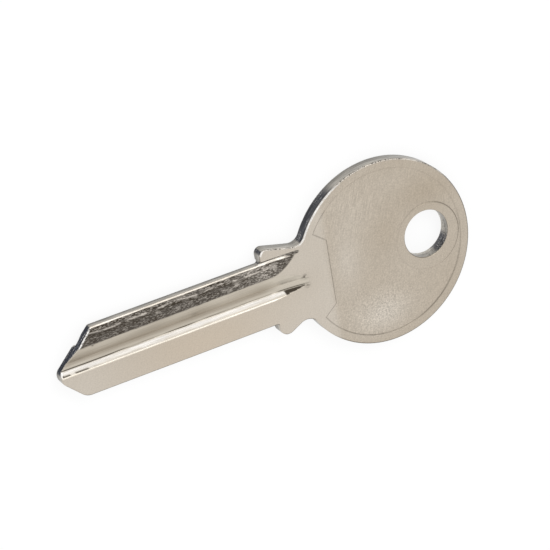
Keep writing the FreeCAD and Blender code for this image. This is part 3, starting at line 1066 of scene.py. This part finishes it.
class NickelPlate:
    """The plating's material, coloured by the masks that the mesh carries."""

    def __init__(self, finish):
        self.finish = finish
        self.material = bpy.data.materials.new("nickel_plate")
        self.material.use_nodes = True
        self.nodes = NodeTree(self.material.node_tree)
        coordinates = self.nodes.add("ShaderNodeTexCoord")
        millimetres = self.nodes.add("ShaderNodeVectorMath", operation="SCALE")
        millimetres.inputs["Scale"].default_value = 1 / MM
        self.nodes.join(coordinates.outputs["Object"], millimetres.inputs[0])
        self.position = millimetres.outputs[0]
        self.grain_tree = plating_grain_group()
        self.streak_tree = drawn_streaks_group()
        grain = place_group(self.nodes, self.grain_tree, Position=self.position, Grain=finish.grain / MM)
        self.pebble = grain.outputs["Height"]
        self.scores = self.streaks(4.0, 0.05)

    def mask(self, name):
        return self.nodes.add("ShaderNodeAttribute", attribute_name=name).outputs["Fac"]

    def streaks(self, long, wide, turn=0.0):
        """Streaks of a length and a width in millimetres."""
        group = place_group(self.nodes, self.streak_tree, Position=self.position,
                            Length=long, Width=wide, Turn=turn)
        return group.outputs["Streak"]

    def satin_plate(self):
        """The coined faces: painted from lit to shaded plate, pebbled, warmer in places, and brushed
        across the panel.
        """
        nodes, finish = self.nodes, self.finish
        # Painted shading from lit plate to warm, shaded plate
        plate = nodes.mix(self.mask("tone_and_shading"), finish.plate_warm_shaded, finish.plate_lit)
        peel = nodes.maths("MULTIPLY", nodes.span(self.pebble, 0.30, 0.70, -0.15, 0.15), self.mask("peel"))
        plate = nodes.tint(plate, nodes.maths("ADD", 0.99, peel))
        plate = nodes.tint(plate, nodes.mix(self.mask("warmth"), (1.0, 1.0, 1.0), (1.0, 0.955, 0.90)))
        lines = nodes.span(self.streaks(1.4, 0.11, BRUSHED_TURN), 0.35, 0.65, -0.10, 0.10)
        lines = nodes.maths("MULTIPLY", lines, self.mask("brushed"))
        return nodes.tint(plate, nodes.maths("ADD", 1.0, lines))

    def rough_cut(self):
        """The upper cut's torn slope: grey, with stained furrows and light crests."""
        nodes, finish = self.nodes, self.finish
        fleck = nodes.span(self.streaks(0.30, 0.085), 0.50, 0.62)
        fleck = nodes.maths("MULTIPLY", fleck, self.mask("flecked"))
        crests = nodes.maths("ADD", self.mask("rough_pale_and_sheen"), fleck, True)
        furrows = nodes.span(self.streaks(0.9, 0.13), 0.38, 0.50, 0.7, 0.0)
        furrows = nodes.maths("ADD", self.mask("furrow"), furrows, True)
        cut = nodes.mix(furrows, finish.rough_grey, finish.stain_and_shade)
        return nodes.mix(crests, cut, finish.rough_pale_and_sheen)

    def milled_cuts(self, surface):
        """The groove's slope with its painted shading, the rough cut, and the steep wall with its painted
        highlight, laid over the plate.
        """
        nodes, finish = self.nodes, self.finish
        # Painted shading over the groove's slope
        slope = nodes.mix(self.mask("slope_shading"), finish.slope_shaded, finish.slope_lit)
        slope = nodes.tint(slope, nodes.span(self.scores, 0.35, 0.65, 0.90, 1.10))
        surface = nodes.mix(self.mask("milled"), surface, slope)
        surface = nodes.mix(self.mask("rough_cut"), surface, self.rough_cut())
        # Painted highlight on the steep wall, streaked
        streaked_highlight = nodes.tint(finish.bright, nodes.span(self.scores, 0.38, 0.62, 0.86, 1.12))
        return nodes.mix(self.mask("highlit_wall"), surface, streaked_highlight)

    def wear(self, surface):
        """Painted shade in the creases and at the groove's foot, painted glints on the worn edges, and
        dark dots along the edges on the lit side.
        """
        nodes, finish = self.nodes, self.finish
        # Painted shade in the creases and along the shaded edges
        surface = nodes.mix(nodes.maths("MULTIPLY", self.mask("crease_shade"), 0.8), surface, finish.stain_and_shade)
        # Painted shade at the groove's foot, with the wall's stained end and the pits
        surface = nodes.mix(self.mask("groove_foot"), surface, finish.stain_and_shade)
        # Painted glints on the worn edges
        glints = nodes.span(self.pebble, 0.40, 0.50, 0.25, 1.3)
        glints = nodes.maths("MULTIPLY", self.mask("edge_shine"), glints, True)
        surface = nodes.mix(glints, surface, finish.glint)
        # Dark dots along the edges on the lit side
        dots = nodes.span(self.pebble, 0.47, 0.54, 0.0, 0.95)
        dots = nodes.maths("MULTIPLY", self.mask("dark_edge_dots"), dots, True)
        return nodes.mix(dots, surface, finish.stain_and_shade)

    def sheared_edge(self):
        """The walls: dragged along by the punch, with a painted dark reflection and painted glints on one
        side, painted shading by height, and torn in the hole.
        """
        nodes, finish = self.nodes, self.finish
        along = nodes.add("ShaderNodeVectorMath", operation="MULTIPLY")
        along.inputs[1].default_value = (0.45, 0.45, 8.0)
        nodes.join(self.position, along.inputs[0])
        noise = nodes.add("ShaderNodeTexNoise")
        noise.inputs["Scale"].default_value = 1.0
        noise.inputs["Detail"].default_value = 2.0
        nodes.join(along.outputs[0], noise.inputs["Vector"])
        drag = noise.outputs[0]
        # Painted dark reflection on the walls that face the dark room
        edge = nodes.mix(self.mask("dark_reflection"), finish.edge_grey, finish.edge_dark_reflection)
        edge = nodes.tint(edge, nodes.span(drag, 0.36, 0.64, 0.66, 1.28))
        # Painted shading by height on the walls
        edge = nodes.tint(edge, self.mask("wall_shading"))
        torn = nodes.maths("MULTIPLY", nodes.span(self.pebble, 0.42, 0.52, 0.5, 0.0), self.mask("bore"))
        edge = nodes.mix(torn, edge, finish.stain_and_shade)
        glitter = nodes.maths("MULTIPLY", nodes.span(self.pebble, 0.55, 0.63, 0.0, 0.7), self.mask("bore"))
        edge = nodes.mix(glitter, edge, finish.edge_grey)
        # Painted glints scattered over the painted dark reflection
        specks = nodes.maths("MULTIPLY", nodes.span(drag, 0.56, 0.66), nodes.span(self.pebble, 0.48, 0.60))
        dark = nodes.maths("MULTIPLY", self.mask("dark_reflection"), 0.7)
        return nodes.mix(nodes.maths("MULTIPLY", specks, dark), edge, finish.bright)

    def build(self):
        nodes, finish = self.nodes, self.finish
        shader = self.material.node_tree.nodes["Principled BSDF"]
        surface = self.wear(self.milled_cuts(self.satin_plate()))
        surface = nodes.mix(self.mask("wall"), surface, self.sheared_edge())
        nodes.join(surface, shader.inputs["Base Color"])
        roughness = nodes.span(self.mask("rough_cut"), 0.0, 1.0, finish.roughness, finish.cut_roughness)
        nodes.join(roughness, shader.inputs["Roughness"])
        shader.inputs["Metallic"].default_value = 1.0
        bump = nodes.add("ShaderNodeBump")
        bump.inputs["Strength"].default_value = 0.7
        bump.inputs["Distance"].default_value = 0.01 * MM
        nodes.join(self.pebble, bump.inputs["Height"])
        nodes.join(bump.outputs[0], shader.inputs["Normal"])
        return self.material


class KEY_BLANK_OT_build_key(bpy.types.Operator):
    """Build the nickel-plated key blank over its CAD solid"""

    bl_idname = "key_blank.build_key"
    bl_label = "Build Key Blank"

    def execute(self, context):
        scene = context.scene
        points, faces, masks = KeyMesh(scene.key_shape).build()
        piece = add_mesh(scene, "nickel_key_blank", points, faces, masks)
        piece.data.materials.append(NickelPlate(scene.key_finish).build())
        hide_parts("key_blank")
        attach(piece, "root")
        return {"FINISHED"}


def camera_matrix(studio):
    """Camera that sees the key as the photograph does."""
    reach = math.cos(studio.elevation)
    level = Vector((math.cos(studio.azimuth), math.sin(studio.azimuth), 0))
    back = Vector((level.y * reach, -level.x * reach, math.sin(studio.elevation)))
    right = level * math.cos(studio.roll) + back.cross(level) * math.sin(studio.roll)
    matrix = Matrix((right, back.cross(right), back)).transposed().to_4x4()
    matrix.translation = Vector(studio.aim) + back * studio.distance
    return matrix


class KEY_BLANK_OT_build_stage(bpy.types.Operator):
    """Build the floor, the lights and the camera"""

    bl_idname = "key_blank.build_stage"
    bl_label = "Build Stage"

    def execute(self, context):
        studio = context.scene.key_studio
        self.add_floor(context, studio)
        self.add_sky(context.scene, studio)
        self.add_softbox(context.scene, studio)
        self.add_camera(context.scene, studio)
        context.scene.view_settings.view_transform = "Standard"
        return {"FINISHED"}

    def add_floor(self, context, studio):
        made = bpy.ops.mesh.primitive_plane_add(size=FLOOR_SIZE, location=(0, 0, -FLOOR_DROP))
        if made != {"FINISHED"}:
            raise RuntimeError("The floor could not be added")
        floor = context.object
        floor.name = "floor"
        material = bpy.data.materials.new("floor")
        material.use_nodes = True
        nodes = NodeTree(material.node_tree)
        shader = material.node_tree.nodes["Principled BSDF"]
        shader.inputs["Base Color"].default_value = (*studio.floor, 1.0)
        shader.inputs["Roughness"].default_value = 0.9
        shader.inputs["Specular IOR Level"].default_value = 0.0
        glow = nodes.add("ShaderNodeEmission")
        glow.inputs["Color"].default_value = (1.0, 1.0, 1.0, 1.0)
        path = nodes.add("ShaderNodeLightPath")
        seen = nodes.maths("ADD", path.outputs["Is Camera Ray"], path.outputs["Is Glossy Ray"], True)
        seen = nodes.maths("ADD", seen, path.outputs["Is Transmission Ray"], True)
        blend = nodes.add("ShaderNodeMixShader")
        nodes.join(nodes.maths("MULTIPLY", seen, studio.floor_glow), blend.inputs[0])
        nodes.join(shader.outputs[0], blend.inputs[1])
        nodes.join(glow.outputs[0], blend.inputs[2])
        nodes.join(blend.outputs[0], material.node_tree.nodes["Material Output"].inputs["Surface"])
        floor.data.materials.append(material)

    def add_sky(self, scene, studio):
        world = bpy.data.worlds.new("sky")
        scene.world = world
        world.use_nodes = True
        background = world.node_tree.nodes["Background"]
        background.inputs["Color"].default_value = (1.0, 1.0, 1.0, 1.0)
        background.inputs["Strength"].default_value = studio.sky

    def add_softbox(self, scene, studio):
        lamp = bpy.data.lights.new("softbox", "AREA")
        lamp.shape = "RECTANGLE"
        lamp.size, lamp.size_y = SOFTBOX_SIZE
        lamp.energy = studio.key_light
        box = bpy.data.objects.new("softbox", lamp)
        direction = Vector(SOFTBOX_SIDE).normalized()
        box.location = direction * SOFTBOX_DISTANCE
        box.rotation_euler = direction.to_track_quat("Z", "Y").to_euler()
        scene.collection.objects.link(box)

    def add_camera(self, scene, studio):
        lens = bpy.data.cameras.new("camera")
        lens.lens = studio.lens
        lens.sensor_width = 36.0
        lens.clip_start = 0.01
        lens.clip_end = 20.0
        camera = bpy.data.objects.new("camera", lens)
        scene.collection.objects.link(camera)
        scene.camera = camera
        camera.matrix_world = camera_matrix(studio)


class VIEW3D_PT_key_blank(bpy.types.Panel):
    """Lists the sizes, the finish and the stage of the key blank"""

    bl_label = "Key Blank"
    bl_idname = "VIEW3D_PT_key_blank"
    bl_space_type = "VIEW_3D"
    bl_region_type = "UI"
    bl_category = "Key Blank"

    def draw(self, context):
        scene = context.scene
        layout = self.layout
        for title, group, operator in (
            ("Shape", scene.key_shape, KEY_BLANK_OT_build_key),
            ("Finish", scene.key_finish, None),
            ("Studio", scene.key_studio, KEY_BLANK_OT_build_stage),
        ):
            box = layout.box()
            box.label(text=title)
            for name in group.__annotations__:
                box.prop(group, name)
            if operator:
                box.operator(operator.bl_idname)


CLASSES = (KeyShape, NickelFinish, KeyStudio,
           KEY_BLANK_OT_build_key, KEY_BLANK_OT_build_stage, VIEW3D_PT_key_blank)


def register():
    for item in CLASSES:
        bpy.utils.register_class(item)
    bpy.types.Scene.key_shape = PointerProperty(type=KeyShape)
    bpy.types.Scene.key_finish = PointerProperty(type=NickelFinish)
    bpy.types.Scene.key_studio = PointerProperty(type=KeyStudio)


def unregister():
    del bpy.types.Scene.key_studio
    del bpy.types.Scene.key_finish
    del bpy.types.Scene.key_shape
    for item in reversed(CLASSES):
        bpy.utils.unregister_class(item)


def main():
    register()
    bpy.ops.key_blank.build_key()
    bpy.ops.key_blank.build_stage()


if __name__ == "__main__":
    main()
